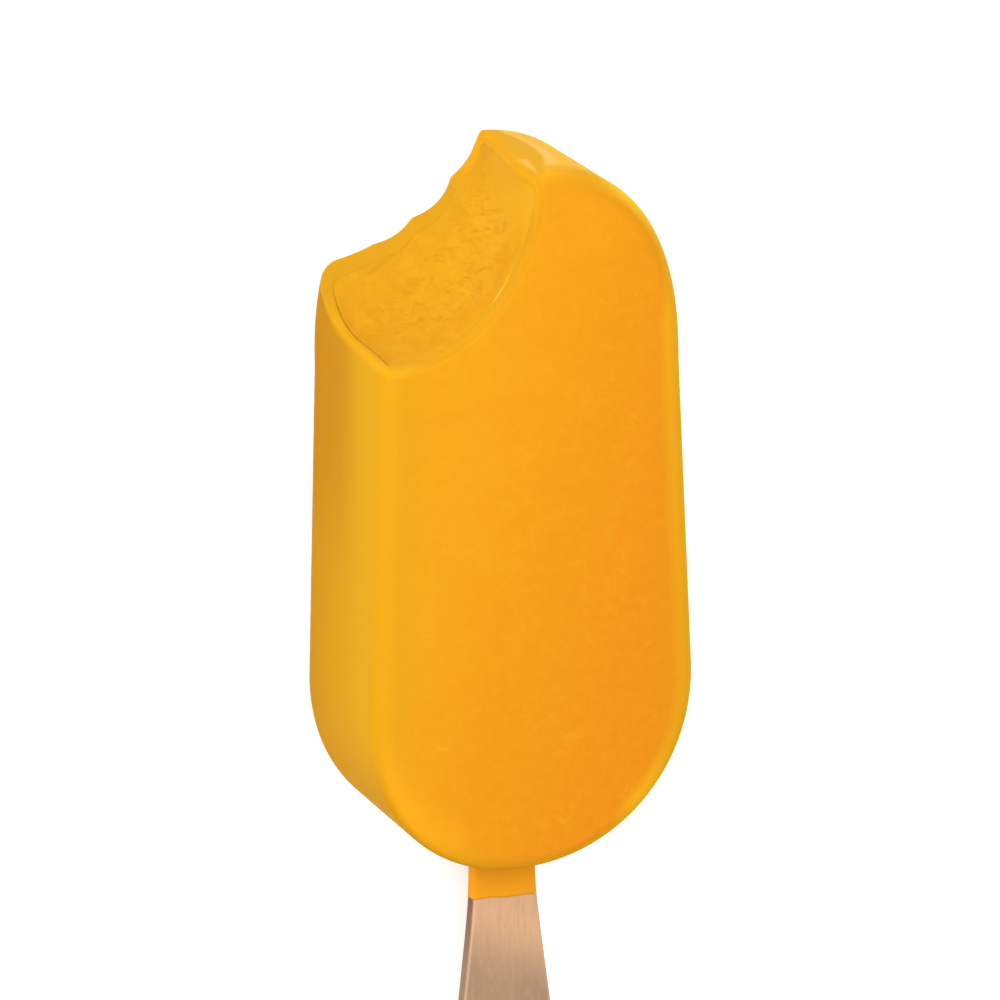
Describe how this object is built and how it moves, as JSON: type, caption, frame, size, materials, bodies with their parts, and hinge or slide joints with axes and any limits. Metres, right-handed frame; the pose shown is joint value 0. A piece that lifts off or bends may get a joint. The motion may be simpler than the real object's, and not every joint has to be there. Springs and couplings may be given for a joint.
{
  "type": "ice lolly",
  "caption": "Fruit ice lolly with a rounded bar, a bite out of one top corner that shows the sorbet inside the thin ice shell, and a flat wooden stick.",
  "frame": {"origin": "middle of the whole part's length and width, on the plane of the bar's flat back", "axes": "+X across the bar, to the right as seen from the front; +Y along the bar from the stick to the bitten top; +Z out of the bar's front face"},
  "size_m": [0.0486, 0.145, 0.024],
  "materials": {
    "fruit_ice": "smooth frozen fruit ice, satin",
    "sorbet": "coarse frozen sorbet, matte",
    "birch": "bare sanded birch"
  },
  "bodies": {
    "root": {"fruit_ice_shell": "fruit_ice", "sorbet_core": "sorbet", "stick": "birch"}
  },
  "joints": []
}
